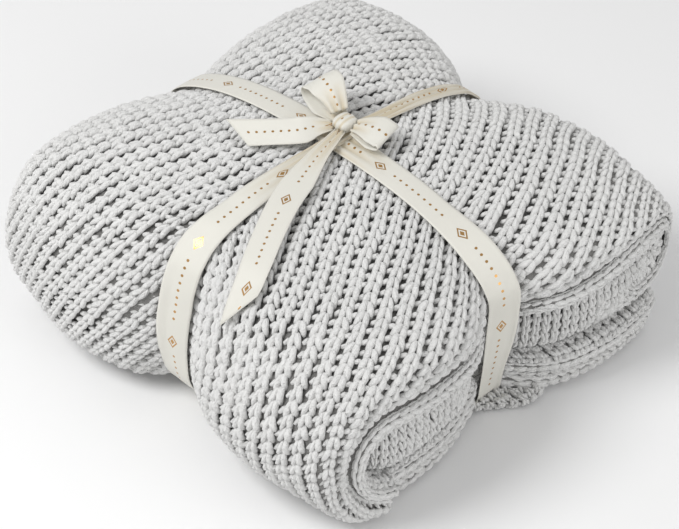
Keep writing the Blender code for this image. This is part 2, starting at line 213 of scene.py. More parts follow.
def closed_mesh(name, shape):
    """A bmesh as a smooth mesh with its faces turned outwards."""
    bmesh.ops.recalc_face_normals(shape, faces=shape.faces)
    mesh = bpy.data.meshes.new(name)
    shape.to_mesh(mesh)
    shape.free()
    mesh.shade_smooth()
    return mesh


def add_piece(name, mesh, material):
    thing = bpy.data.objects.new(name, mesh)
    bpy.context.scene.collection.objects.link(thing)
    mesh.materials.clear()
    mesh.materials.append(material)
    return thing


def ply_profile():
    """The four plies at every station, as one line across the cloth: (y, n), from the rolled
    cast-off edge over the ribbed ply, round the far side, and back and forth inside."""
    half, count = PACKET / 2, len(strip.x)

    def everywhere(values):
        return np.broadcast_to(values, (count, len(values)))

    sink = STITCH_DEPTH
    radius = strip.near_radius[:, None]
    near_sink = np.minimum(sink, 0.8 * radius)
    roll = np.radians(np.linspace(200, 20, 9))
    y = -HALF_Y - strip.proud[:, None] + PLY / 2 - 0.0022 * np.sin(roll)
    n = strip.nose[:, None] + 0.0022 * np.cos(roll)
    lines = [(y, n), (y[:, -1:] + 0.006, n[:, -1:] + 0.001)]
    y, n = rounded_side((HALF_Y - radius + radius * CREASE_TURN) * np.linspace(1, 0, 30),
                        radius, -1)
    keep = 1 - near_sink / radius
    bent = y < -HALF_Y + radius
    lines.append((np.where(bent, -HALF_Y + radius + (y + HALF_Y - radius) * keep, y),
                  np.where(bent, half - radius + (n - half + radius) * keep,
                           n - sink - (near_sink - sink) * smooth(-y / 0.15))))
    a = np.linspace(0.010, HALF_Y - half, 18)
    lines.append((everywhere(a), everywhere(np.full(18, half - sink))))
    turn = np.linspace(0, math.pi, 12)[1:]
    lines.append((everywhere(HALF_Y - half + (half - sink) * np.sin(turn)),
                  everywhere((half - sink) * np.cos(turn))))
    near, far, apart = -HALF_Y + 0.019, 0.168, 0.8 * PLY
    fold = np.linspace(0, math.pi, 7)[1:-1]
    for y, n in (
            (np.linspace(far, near, 12), np.full(12, sink - half)),
            (near - 0.5 * apart * np.sin(fold), sink - half + 0.5 * apart * (1 - np.cos(fold))),
            (np.linspace(near, far, 12), np.full(12, sink - half + apart)),
            (far + 0.5 * PLY * np.sin(fold),
             sink - half + apart + 0.5 * PLY * (1 - np.cos(fold))),
            (np.linspace(far, near, 12), np.full(12, sink - half + apart + PLY))):
        lines.append((everywhere(y), everywhere(n)))
    return [np.concatenate(part, 1) for part in zip(*lines)]


class Socket:
    """An output socket of a node tree, for sums written as they are on paper."""

    def __init__(self, tree, socket):
        self.tree, self.socket = tree, socket

    def maths(self, operation, first, second):
        return node(self.tree, "ShaderNodeMath", {"operation": operation},
                    {0: first, 1: second})["Value"]

    def __add__(self, other):
        return self.maths("ADD", self, other)

    def __sub__(self, other):
        return self.maths("SUBTRACT", self, other)

    def __rsub__(self, other):
        return self.maths("SUBTRACT", other, self)

    def __mul__(self, other):
        return self.maths("MULTIPLY", self, other)

    def __gt__(self, other):
        return self.maths("GREATER_THAN", self, other)

    def __lt__(self, other):
        return self.maths("LESS_THAN", self, other)

    def __mod__(self, other):
        return self.maths("FLOORED_MODULO", self, other)

    def __abs__(self):
        return self.maths("ABSOLUTE", self, 0.0)

    __radd__, __rmul__ = __add__, __mul__


def node(tree, kind, settings, values):
    """Adds a node: its settings first, then the values or links of its sockets."""
    made = tree.nodes.new(kind)
    for name, setting in settings.items():
        setattr(made, name, setting)
    for name, value in values.items():
        if isinstance(value, Socket):
            tree.links.new(value.socket, made.inputs[name])
        else:
            made.inputs[name].default_value = value
    return {out.name: Socket(tree, out) for out in made.outputs if out.enabled}


def new_material(name):
    material = bpy.data.materials.new(name)
    material.use_nodes = True
    material.node_tree.nodes.clear()
    return material, material.node_tree


def give_surface(tree, values):
    """Ends a material's tree with its surface."""
    surface = node(tree, "ShaderNodeBsdfPrincipled", {}, values)["BSDF"]
    node(tree, "ShaderNodeOutputMaterial", {}, {"Surface": surface})


def blend(tree, share, first, second):
    """The colour that lies a share of the way from first to second."""
    return node(tree, "ShaderNodeMix", {"data_type": "RGBA"},
                {"Factor": share, 6: first, 7: second})["Result"]


def kept_number(tree, name):
    """What keep() kept for every point."""
    return node(tree, "ShaderNodeAttribute", {"attribute_name": name}, {})["Fac"]


def yarn_material():
    """Thick, soft, matt yarn: a fuzzy surface, uneven light grey, and painted shade that darkens
    it to a deep grey down in the knit.
    """
    material, tree = new_material("yarn")
    place = node(tree, "ShaderNodeTexCoord", {}, {})["Object"]
    fuzz, twist, patch = (
        node(tree, "ShaderNodeTexNoise", {}, {"Vector": place, "Scale": scale, "Detail": detail,
                                              "Roughness": roughness})["Fac"]
        for scale, detail, roughness in ((720.0, 2.0, 0.6), (260.0, 2.0, 0.5), (18.0, 1.0, 0.5)))
    tone = blend(tree, 0.30 * fuzz + 0.35 * twist + 0.35 * patch,
                 (0.68, 0.677, 0.665, 1), (0.93, 0.927, 0.915, 1))
    # Painted shade: where the kept height is low, down in the knit, the colour is mixed towards a
    # deep grey, and where no height is kept it is that deep grey.
    shade = blend(tree, kept_number(tree, "height"), (0.21, 0.206, 0.198, 1), tone)
    bump = node(tree, "ShaderNodeBump", {},
                {"Strength": 0.9, "Distance": 0.0026, "Height": 0.7 * fuzz + twist})["Normal"]
    give_surface(tree, {"Base Color": shade, "Roughness": 0.92, "Normal": bump,
                        "Sheen Weight": 0.35, "Sheen Roughness": 0.6, "Specular IOR Level": 0.2})
    return material


yarn = yarn_material()
cloth_points = strip.place(*ply_profile())[:-2]     # the free end is closed below, with the edges
# This cloth keeps no height, so the yarn paints it all over in its deep shade grey: painted shade
# in the gaps between the ribs.
throw_cloth = add_piece("throw_cloth", grid_mesh("throw_cloth", cloth_points), yarn)
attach(throw_cloth, "root")
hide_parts("throw")

# ---------------------------------------------------------------------------------------------
# The throw's stitches.  Each rib is a column of plump V stitches, two slanting strands side by
# side, and a purl bump sits in the valley beside it.  The ribs were pulled askew when the
# ribbon was tied, one way on each side of it.

RIB_PITCH = 0.0136
COURSE = 0.0102
SPAN = 1.7                      # the knit is laid out flat in a square this wide
FIRST_RIB, FIRST_COURSE = 14 * RIB_PITCH, 62 * COURSE

# The ribs' slant away from the ribbon, in degrees, at distances round the throw from the
# middle of its top towards -X.
SLANT = {-1: ((0.135, 30), (0.25, -2), (0.34, -8), (0.42, 0)),
         1: ((0.135, 16), (0.21, 31), (0.34, 30), (0.42, 0))}

# Half of a V stitch, and the purl bump in the valley beside it, in millimetres: across the
# rib, along it, out of the cloth, and the strand's radius.
LEG = ((0.7, -7.2, -5.6, 1.2), (1.3, -4.4, -3.6, 2.25), (2.1, -0.9, -2.9, 2.7),
       (2.9, 2.6, -3.2, 2.55), (3.6, 5.7, -4.9, 1.9), (3.9, 7.6, -6.4, 0.9))
PURL = ((3.6, -2.4, -5.8, 1.5), (5.6, -1.2, -4.4, 2.6), (7.6, 0.4, -4.8, 2.5),
        (9.5, 1.6, -6.4, 1.0))


def add_strand(mesh, rows, sides, mirror=1):
    """A plump closed strand through rows of (x, y, z, radius), in millimetres."""
    rows = np.array(rows) * 0.001
    rows[:, 0] *= mirror
    if mirror < 0:
        rows = rows[::-1]
    runs = np.gradient(rows[:, :3], axis=0)
    rings = []
    for row, run in zip(rows, runs):
        run = run / np.linalg.norm(run)
        side = np.cross(run, (0, 0, 1))
        side /= np.linalg.norm(side)
        up = np.cross(side, run)
        angles = np.arange(sides) * 2 * math.pi / sides
        ring = row[:3] + row[3] * (np.outer(np.cos(angles), side) + np.outer(np.sin(angles), up))
        rings.append([mesh.verts.new(point) for point in ring])
    for this, after in zip(rings, rings[1:]):
        for k in range(sides):
            mesh.faces.new((this[k], this[(k + 1) % sides], after[(k + 1) % sides], after[k]))
    mesh.faces.new(rings[0][::-1])
    mesh.faces.new(rings[-1])


def keep(mesh, key, values):
    """Keeps a number or a direction for every point of a mesh."""
    kind, field = ("FLOAT_VECTOR", "vector") if np.shape(values)[-1] == 3 else ("FLOAT", "value")
    mesh.attributes.new(key, kind, "POINT").data.foreach_set(field, np.ravel(values))


def stitch(name, sides, purl_sides, skip=1, size=(1.0, 1.0, 1.0), purl_on=1):
    """One stitch lying flat, with each point's height kept as the mask for the yarn's painted
    shade.
    """
    mesh = bmesh.new()
    for mirror in (-1, 1):
        add_strand(mesh, LEG[::skip], sides, mirror)
    if purl_sides:
        add_strand(mesh, PURL, purl_sides, purl_on)
    for v in mesh.verts:
        v.co = [length * scale for length, scale in zip(v.co, size)]
    data = closed_mesh(name, mesh)
    # The kept height runs from 0 low in the knit, where the painted shade is darkest, to 1 at the
    # crests.
    keep(data, "height", smooth((np.array([v.co.z for v in data.vertices]) + 0.0085) / 0.0060))
    return bpy.data.objects.new(name, data)


def guide(name, points, flat, spot, turned=1, depth=1.0):
    """A smooth surface that stitches are laid on: its place laid flat, and each point's spot,
    which is its place along the strip's path and its distance from the middle.  Where depth is
    less than 1 the stitches lie flatter, and turned is -1 where the grid faces inwards."""
    mesh = grid_mesh(name, points)
    outward = np.cross(np.gradient(points, axis=0), np.gradient(points, axis=1))
    outward *= turned * depth / np.linalg.norm(outward, axis=-1, keepdims=True).clip(1e-9)
    keep(mesh, "outward", outward)
    keep(mesh, "spot", np.concatenate((spot, 0 * spot[..., :1]), -1))
    layer = mesh.uv_layers.new(name="flat")
    corners = np.empty(len(mesh.loops), int)
    mesh.loops.foreach_get("vertex_index", corners)
    layer.uv.foreach_set("vector", (flat.reshape(-1, 2)[corners] / SPAN).reshape(-1))
    return bpy.data.objects.new(name, mesh)


def knit_tree():
    """Lays stitches out flat in ribs and courses, then bends them onto the guide."""
    tree = bpy.data.node_groups.new("knit", "GeometryNodeTree")
    sockets = {"Guide": "Object", "Stitch": "Object", "Ribs": "Int", "Courses": "Int",
               "Rib pitch": "Float", "Course": "Float", "From": "Vector", "To": "Vector",
               "Unevenness": "Float", "Wander": "Float", "Yarn": "Material"}
    for name, kind in sockets.items():
        tree.interface.new_socket(name, in_out="INPUT", socket_type=f"NodeSocket{kind}")
    tree.interface.new_socket("Knit", in_out="OUTPUT", socket_type="NodeSocketGeometry")
    given = node(tree, "NodeGroupInput", {}, {})
    surface = node(tree, "GeometryNodeObjectInfo", {}, {"Object": given["Guide"]})["Geometry"]
    one = node(tree, "GeometryNodeObjectInfo", {}, {"Object": given["Stitch"]})["Geometry"]
    width = (given["Ribs"] - 1) * given["Rib pitch"]
    length = (given["Courses"] - 1) * given["Course"]
    lattice = node(tree, "GeometryNodeMeshGrid", {},
                   {"Size X": width, "Size Y": length, "Vertices X": given["Ribs"],
                    "Vertices Y": given["Courses"]})["Mesh"]
    corner = node(tree, "ShaderNodeCombineXYZ", {}, {"X": width * 0.5, "Y": length * 0.5})
    lattice = node(tree, "GeometryNodeTransform", {},
                   {"Geometry": lattice, "Translation": corner["Vector"]})["Geometry"]

    def vector(operation, *values, **more):
        return node(tree, "ShaderNodeVectorMath", {"operation": operation},
                    {**dict(enumerate(values)), **more})["Vector"]

    drift = node(tree, "ShaderNodeTexNoise", {}, {"Scale": 13.0, "Detail": 1.0})["Color"]
    drift = vector("MULTIPLY_ADD", drift, (0.009, 0.009, 0.005), (-0.0045, -0.0045, -0.0028))
    drift = vector("SCALE", drift, Scale=given["Wander"])
    lattice = node(tree, "GeometryNodeSetPosition", {},
                   {"Geometry": lattice, "Offset": drift})["Geometry"]
    here = node(tree, "GeometryNodeInputPosition", {}, {})["Position"]
    flat = vector("SCALE", here, Scale=1 / SPAN)

    def named(name):
        return node(tree, "GeometryNodeInputNamedAttribute", {"data_type": "FLOAT_VECTOR"},
                    {"Name": name})["Attribute"]

    def sampled(value):
        return node(tree, "GeometryNodeSampleUVSurface", {"data_type": "FLOAT_VECTOR"},
                    {"Mesh": surface, "Value": value, "UV Map": named("flat"),
                     "Sample UV": flat})

    def apart(vector):
        return node(tree, "ShaderNodeSeparateXYZ", {}, {0: vector})

    spot = sampled(named("spot"))
    low, high, at = apart(given["From"]), apart(given["To"]), apart(spot["Value"])
    kept = (spot["Is Valid"] * (at["X"] > low["X"]) * (at["X"] < high["X"])
            * (at["Y"] > low["Y"]) * (at["Y"] < high["Y"]))

    def uneven(lowest, highest, seed):
        return node(tree, "FunctionNodeRandomValue", {"data_type": "FLOAT_VECTOR"},
                    {0: lowest, 1: highest, "Seed": seed})["Value"]

    jitter = vector("SCALE", uneven((-0.06, -0.12, -0.14), (0.06, 0.12, 0.14), 3),
                    Scale=given["Unevenness"])
    sizes = vector("MULTIPLY_ADD", uneven((-0.12, -0.08, -0.10), (0.10, 0.10, 0.14), 5),
                   (1, 1, 1), (1, 1, 1))
    knit = node(tree, "GeometryNodeInstanceOnPoints", {},
                {"Points": lattice, "Selection": kept, "Instance": one,
                 "Rotation": jitter, "Scale": sizes})["Instances"]
    knit = node(tree, "GeometryNodeRealizeInstances", {}, {"Geometry": knit})["Geometry"]
    ground = sampled(here)
    above = vector("SCALE", sampled(named("outward"))["Value"], Scale=apart(here)["Z"])
    bent = vector("ADD", ground["Value"], above)
    bent = vector("MAXIMUM", bent, (-9.0, -9.0, 0.0002))    # never under the floor
    knit = node(tree, "GeometryNodeDeleteGeometry", {},
                {"Geometry": knit, "Selection": 1 - ground["Is Valid"]})["Geometry"]
    knit = node(tree, "GeometryNodeSetPosition", {}, {"Geometry": knit, "Position": bent})
    knit = node(tree, "GeometryNodeSetMaterial", {},
                {"Geometry": knit["Geometry"], "Material": given["Yarn"]})["Geometry"]
    node(tree, "NodeGroupOutput", {}, {"Knit": knit})
    return tree


knit = knit_tree()


def lay_stitches(name, **inputs):
    """A piece of knit: the tree's result as a plain mesh, added to the throw's stitches."""
    host = bpy.data.objects.new(name, bpy.data.meshes.new(name))
    bpy.context.scene.collection.objects.link(host)
    modifier = host.modifiers.new("knit", "NODES")
    modifier.node_group = knit
    inputs["Yarn"] = yarn
    for item in knit.interface.items_tree:
        if item.in_out == "INPUT":
            modifier[item.identifier] = inputs[item.name]
    evaluated = host.evaluated_get(bpy.context.evaluated_depsgraph_get())
    mesh = bpy.data.meshes.new_from_object(evaluated)
    host.modifiers.clear()
    host.data = mesh
    mesh.name = name
    mesh.shade_smooth()
    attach(host, "root")


def face_path():
    """Distance round the throw over the ribbed face, from the middle of its top."""
    steps = np.hypot(np.diff(strip.x + 0.5 * PACKET * strip.out_x),
                     np.diff(strip.z + 0.5 * PACKET * strip.out_z))
    path = np.concatenate(([0.0], np.cumsum(steps)))
    top = strip.run == "top"
    return path - np.interp(0.0, -strip.x[top], path[top])


def ribbed_guide(side):
    """The guide over one ribbed half of the strip, from end to end.  The stitches lie flatter
    at the strip's ends and where the -Y side curls tightly to the cast-off edge."""
    radius = strip.near_radius[:, None] if side < 0 else PACKET / 2
    reach = HALF_Y - radius + (radius * CREASE_TURN + 0.014 if side < 0 else radius * 3.1)
    a = -0.012 + (reach + 0.012) * np.linspace(0, 1, 72)[None, :] + 0 * strip.x[:, None]
    points = strip.place(*rounded_side(a, radius, side))
    q = face_path()
    slant = np.radians(np.interp(q, *zip(*SLANT[side])))
    first = math.radians(SLANT[side][0][1])

    def summed(rate):
        total = np.concatenate(([0.0], np.cumsum(np.diff(q) * (rate[1:] + rate[:-1]) / 2)))
        return (total - np.interp(0.0, q, total))[:, None]

    across = (a - summed(np.tan(slant))) * math.cos(first)
    along = summed(1 / np.cos(slant) - np.tan(slant) * math.sin(first)) + a * math.sin(first)
    flat = np.stack((across + FIRST_RIB, along + FIRST_COURSE), -1)
    spot = np.stack((strip.path[:, None] + 0 * a, a), -1)
    tight = np.clip((0.017 - radius) / 0.011, 0.0, 1.0)
    depth = strip.full[:, None] * (1 - 0.5 * tight * smooth((a - HALF_Y + radius) / radius))
    return guide(f"ribs_{'near' if side < 0 else 'far'}", points, flat, spot, -side,
                 depth[..., None])


knit_stitch = {side: stitch("knit_stitch", 6, 5, purl_on=side) for side in (-1, 1)}
plain_stitch = stitch("plain_stitch", 4, 0, skip=2, size=(1.2, 1.0, 1.0))
rib_grid = {"Rib pitch": RIB_PITCH, "Course": COURSE, "Ribs": 54, "Courses": 152,
            "Unevenness": 1.0, "Wander": 1.0}
top_start = strip.first("inner turn") - 0.012
top_middle = (strip.first("top") + strip.first("outer turn")) / 2
bottom_start = strip.first("bottom") + 0.02
path_end = strip.path[-1]
flank = HALF_Y - PACKET / 2 - 0.012     # past this the hidden runs show at the sides
for side, side_name, middle_start in ((-1, "near", top_start - 0.060), (1, "far", 0.0)):
    surface = ribbed_guide(side)
    for part, start, end, inside, one in (
            ("right", top_start, top_middle, 0.0, knit_stitch[side]),
            ("left", top_middle, bottom_start, 0.0, knit_stitch[side]),
            ("middle", middle_start, top_start, flank, knit_stitch[side]),
            ("bottom", bottom_start, path_end, flank, knit_stitch[side]),
            ("under", bottom_start, path_end, 0.0, plain_stitch)):
        lay_stitches(f"stitches_{side_name}_{part}", Guide=surface, Stitch=one,
                     From=(start, inside, 0.0),
                     To=(end, flank if part == "under" else 1.0, 0.0), **rib_grid)

# ---------------------------------------------------------------------------------------------
# The throw's edges.  Its long edge is cast off in a firm rolled band, which shows on the -Y
# side below the ribbed top and turns outermost at the +X corners.  Behind it the inner plies'
# folds show their ribs end on, and a corner of the bottom ply pokes out beside the ribbon.

LIP_AT = math.radians(80)       # the band's middle, turned from the cloth's outer side
LIP_COLUMN, LIP_COURSE = 0.0100, 0.0088
EDGE_COURSE = 0.9 * COURSE      # on the faces that show the folds
CORNER_AT = {"x": 0.0160, "half": 0.0340, "tip": -0.1640, "thick": 0.0120}

# Round the free end, from under it upwards: how far in from the end, and the height as a share
# of half the thickness, counted downwards.
END_ROUND = ((0.016, 0.93), (0.008, 0.84), (0.0023, 0.55), (0, 0.28), (0, -0.28),
             (0.0023, -0.55), (0.008, -0.84), (0.023, -1.0), (0.07, -1.0), (0.13, -1.0),
             (0.19, -1.0))


def lip_guide():
    """Round the rolled edge, with one broad column of stitches along its middle."""
    angle = np.radians(np.linspace(-75, 235, 22))[None, :]
    y = -HALF_Y - strip.proud[:, None] + PLY / 2 * (1 - np.sin(angle))
    n = strip.nose[:, None] + PLY / 2 * np.cos(angle)
    points = strip.place(y, n)
    steps = np.linalg.norm(np.diff(points[:, 11], axis=0), axis=-1)
    run = np.concatenate(([0.0], np.cumsum(steps)))[:, None] + 0 * y
    flat = np.stack(((angle - LIP_AT) * PLY / 2 + 2 * LIP_COLUMN + 0 * y, run), -1)
    return guide("edge", points, flat, np.stack((strip.path[:, None] + 0 * y, 0 * y), -1),
                 depth=strip.full[:, None, None])


def face_guide(name, points, turned=1):
    """Over a side of the cloth, with ribs down its columns: rows run across the ribs."""
    down = np.linalg.norm(np.diff(points, axis=1), axis=-1)
    down = np.concatenate((np.zeros((len(points), 1)), np.cumsum(down, 1)), 1) + 0.006
    column = points.shape[1] // 3
    steps = np.linalg.norm(np.diff(points[:, column], axis=0), axis=-1)
    run = np.concatenate(([0.0], np.cumsum(steps)))[:, None] + 0 * down
    flat = np.stack((run, down), -1)
    return guide(name, points, flat, flat, turned)


def inner_points():
    """From under the rolled edge, in along the plies' folds, to the strip's inner face."""
    half, nose, zero = PACKET / 2, strip.nose, 0 * strip.nose
    below = nose - PLY / 2 + half
    flush = np.where(strip.run == "bottom", -0.002, 0.001)
    stops = [(flush, nose - PLY / 2 + 0.003), (flush + 0.001, nose - PLY / 2 - 0.2 * below),
             (flush + 0.001, nose - PLY / 2 - 0.75 * below), (flush + 0.004, zero - half + 0.0005),
             (zero + 0.018, zero - half), (zero + 0.060, zero - half)]
    y, n = (np.stack(part, -1) for part in zip(*stops))
    at, fine = np.arange(6), np.linspace(0, 5, 26)
    y, n = (np.array([np.interp(fine, at, row) for row in part]) for part in (y, n))
    return strip.place(-HALF_Y + y, n)


def middle_points():
    """Over the middle run's folds on the -Y side, bluntly rounded from top to bottom."""
    turn = np.radians(np.linspace(10, 178, 18))[None, :]
    blunt = np.sign(np.cos(turn)) * np.abs(np.cos(turn)) ** 0.7
    every = 0 * strip.x[:, None]
    points = strip.place(-HALF_Y + 0.002 + 0.016 * (1 - np.sin(turn) ** 0.4) + every,
                         (PACKET + GAP) / 2 * blunt + every)
    return points[(strip.run == "middle") & (strip.x < 0.159)]


def end_points(sink=0.0):
    """Over the bottom run's free end, or sink below it: rows across the strip, columns from
    under it, up."""
    at = np.arange(len(END_ROUND))
    inset, thick = (np.interp(np.linspace(0, at[-1], 4 * at[-1] + 1), at, part)
                    for part in zip(*END_ROUND))
    u = np.linspace(-1, 1, 68)[:, None]
    side = np.sqrt(np.clip(1 - 0.80 * u**10, 0.0, 1.0))
    wide = np.minimum(1.0, 0.94 + 6 * sink + 0.06 * np.clip(inset / 0.02, 0.0, 1.0))
    x, y = strip.ease(HALF_X - sink - inset - 0.006 * u**10, (HALF_Y - 0.4 * sink) * u * wide, 1.0)
    return tie(x, y, PACKET / 2 - (PACKET / 2 - sink) * thick * side)


def corner_points():
    """Over the bottom ply's corner on the floor, round its slanting edge."""
    u = np.linspace(-1, 1, 19)[:, None]
    turn = np.linspace(0, math.pi, 9)
    radius = CORNER_AT["thick"] / 2
    tip = (CORNER_AT["tip"] - 0.024 * smooth((u + 1) / 1.35)
           + 0.010 * np.maximum(0.0, (u - 0.35) / 0.65) ** 2)
    share = np.concatenate((np.linspace(1, 0, 10)[:-1], np.zeros(9)))
    beyond = np.concatenate((np.zeros(9), radius * np.sin(turn)))
    z = np.concatenate((np.full(9, 2 * radius), radius * (1 + np.cos(turn))))
    side = np.sqrt(np.clip(1 - u**8, 0.0, 1.0))
    return np.stack((CORNER_AT["x"] + CORNER_AT["half"] * u * (1 + 0 * z),
                     tip + radius + (-0.128 - tip) * share - beyond,
                     radius + (z - radius) * side), -1)


# The sunken free end keeps no height either, so it too is painted all over in the yarn's deep
# shade grey, as painted shade between the end's stitches.
throw_end = add_piece("throw_end", grid_mesh("throw_end", end_points(STITCH_DEPTH), True), yarn)
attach(throw_end, "root")

edge_stitch = stitch("edge_stitch", 6, 0, size=(0.98, 0.88, 0.70))
fold_stitch = stitch("fold_stitch", 6, 4, size=(0.62, 0.85, 0.80))
inner_stitch = stitch("inner_stitch", 6, 4, size=(0.80, 0.85, 0.75))
lay_stitches("stitches_edge", Guide=lip_guide(), Stitch=edge_stitch, Ribs=5, Courses=180,
             From=(strip.first("inner turn") - 0.05, -1.0, 0.0), To=(path_end - 0.005, 1.0, 0.0),
             **{"Rib pitch": LIP_COLUMN, "Course": LIP_COURSE, "Unevenness": 0.5,
                "Wander": 0.3})
inner_rows = strip.path > strip.first("inner turn") - 0.019
for name, points, turned, one, pitch, ribs, courses in (
        ("inner", inner_points()[inner_rows], 1, inner_stitch, 0.0096, 146, 11),
        ("middle", middle_points(), 1, fold_stitch, 0.0082, 60, 9),
        ("end", end_points(), 1, knit_stitch[1], RIB_PITCH, 40, 26),
        ("corner", corner_points(), -1, fold_stitch, 0.0085, 9, 9)):
    lay_stitches(f"stitches_{name}", Guide=face_guide(f"{name}_face", points, turned),
                 Stitch=one, Ribs=ribs, Courses=courses, From=(-1.0, -1.0, 0.0),
                 To=(9.0, 9.0, 0.0),
                 **{"Rib pitch": pitch, "Course": EDGE_COURSE, "Unevenness": 1.2,
                    "Wander": 0.6})

# ---------------------------------------------------------------------------------------------
# The ribbon round the throw.  One length of 25 mm cream satin passes once each way round the
# bundle; it lies flat at the sides, and is gathered and creased where it nears the knot.

SATIN = 0.0010                  # the CAD ribbons' thickness
LOOP_STEP = 0.003               # between two rows of a band
ACROSS = np.linspace(-1, 1, 13)[None, :]    # the points of a row, from edge to edge
FOIL_REPEAT = 0.086             # from one foil diamond to the next


def satin_material():
    """Cream satin with a fine twill and a woven edge, stamped with diamonds and dots of gold foil
    down its middle, and with painted shade that turns it dark beige down in its creases and
    pleats."""
    material, tree = new_material("satin")
    place = node(tree, "ShaderNodeUVMap", {"uv_map": "ribbon"}, {})["UV"]
    at = node(tree, "ShaderNodeSeparateXYZ", {}, {0: place})
    across, along = at["X"] - 0.5, at["Y"]
    edge = abs(across) > 0.462
    twill = node(tree, "ShaderNodeMath", {"operation": "SINE"},
                 {0: (across * RIBBON + along) * (2 * math.pi / 0.0006)})["Value"]
    repeat = along % FOIL_REPEAT
    diamond = abs(across) * (RIBBON / 0.0042) + abs(repeat - 0.010) * (1 / 0.0062)
    ring = (diamond < 1.0) * (1 - (diamond < 0.70) * (diamond > 0.42))
    step = (repeat - 0.022) % 0.0062 - 0.0031
    dots = ((across * across * RIBBON**2 + step * step < 0.0011**2)
            * (repeat > 0.022) * (repeat < 0.078))
    foil = (ring + dots) * kept_number(tree, "face")
    # Painted shade: the kept fold share mixes the cream towards a dark beige down in creases and
    # pleats.
    colour = blend(tree, kept_number(tree, "fold"), (0.75, 0.735, 0.67, 1),
                   (0.62, 0.53, 0.37, 1))
    colour = blend(tree, edge * 0.6, colour, (0.84, 0.82, 0.755, 1))
    colour = blend(tree, foil, colour, (0.52, 0.30, 0.11, 1))
    bump = node(tree, "ShaderNodeBump", {},
                {"Strength": 0.35, "Distance": 0.00015, "Height": twill * (1 - foil) + 2 * edge})
    give_surface(tree, {"Base Color": colour, "Roughness": 0.42 - 0.14 * foil,
                        "Metallic": 0.85 * foil, "Normal": bump["Normal"],
                        "Sheen Weight": 0.15, "Sheen Roughness": 0.4})
    return material


satin = satin_material()


def lay_ribbon(name, rows, fold, closed=False, thick=0.0006, run=0.0):
    """A closed sheet of satin about a grid of points: rows along the ribbon, columns across.
    The foil shows on its outer face alone, and fold says how deep in a crease each point is, which
    sets the painted shade there."""
    count, width = rows.shape[:2]
    if closed:
        before, after = np.roll(rows, 1, 0), np.roll(rows, -1, 0)
    else:
        before, after = (rows[np.clip(np.arange(count) + k, 0, count - 1)] for k in (-1, 1))
    out = np.cross(after - before, np.gradient(rows, axis=1))
    out /= np.linalg.norm(out, axis=-1, keepdims=True).clip(1e-12)
    steps = np.linalg.norm(np.diff(rows[:, width // 2], axis=0), axis=-1)
    along = run + np.concatenate(([0.0], np.cumsum(steps)))
    shell = np.concatenate((rows + out * thick / 2, (rows - out * thick / 2)[:, ::-1]), 1)
    across = np.linspace(0, 1, width)
    across = np.concatenate((across, across[::-1]))
    ring = 2 * width
    here = np.arange(ring)
    mesh = bmesh.new()
    verts = [mesh.verts.new(p) for p in shell.reshape(-1, 3)]
    uv = mesh.loops.layers.uv.new("ribbon")
    lap = along[-1] + np.linalg.norm(rows[0, width // 2] - rows[-1, width // 2])
    for i in range(count if closed else count - 1):
        for j in here:
            k = (j + 1) % ring
            corners = (i, j), (i, k), (i + 1, k), (i + 1, j)
            face = mesh.faces.new([verts[(r % count) * ring + c] for r, c in corners])
            for loop, (r, c) in zip(face.loops, corners):
                loop[uv].uv = (across[c], along[r] if r < count else lap)
    if not closed:
        for r in (0, count - 1):
            for j in range(width - 1):
                mesh.faces.new([verts[r * ring + c] for c in (j, j + 1, ring - 2 - j,
                                                              ring - 1 - j)])
    data = closed_mesh(name, mesh)
    face = np.zeros((count, ring))
    face[:, :width] = 1.0
    keep(data, "face", face.ravel())
    keep(data, "fold", np.concatenate((fold, fold[:, ::-1]), 1).ravel())
    piece = add_piece(name, data, satin)
    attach(piece, "root")
    return piece


def band_loop(cad_name, axis):
    """The middle of a CAD ribbon's thickness, all round the bundle: (run, z), with its
    outward directions, about 3 mm apart from the middle of the underside."""
    cad = bpy.data.objects[cad_name].data
    points = np.empty(len(cad.vertices) * 3)
    cad.vertices.foreach_get("co", points)
    points = np.unique(points.reshape(-1, 3)[:, (1 - axis, 2)].round(6), axis=0)
    flat = bmesh.new()
    hull = bmesh.ops.convex_hull(flat, input=[flat.verts.new((*p, 0.0)) for p in points])
    kept = np.array([v.co[:2] for v in flat.verts if v not in set(
        hull["geom_interior"]) and v.link_faces])
    flat.free()
    centre = kept.mean(0)
    turn = np.arctan2(kept[:, 1] - centre[1], kept[:, 0] - centre[0])
    order = np.argsort((turn + math.pi / 2) % (2 * math.pi))
    loop = np.concatenate((kept[order], kept[order][:1]))
    length = np.concatenate(([0.0], np.cumsum(np.linalg.norm(np.diff(loop, axis=0), axis=1))))
    count = int(length[-1] / LOOP_STEP)
    at = np.linspace(0, length[-1], count, endpoint=False)
    loop = np.stack([np.interp(at, length, part) for part in loop.T], -1)
    for _ in range(3):
        loop = 0.5 * loop + 0.25 * (np.roll(loop, 1, 0) + np.roll(loop, -1, 0))
    along = np.roll(loop, -1, 0) - np.roll(loop, 1, 0)
    out = np.stack((along[:, 1], -along[:, 0]), -1)
    out /= np.linalg.norm(out, axis=1, keepdims=True)
    return loop - out * SATIN / 2, out


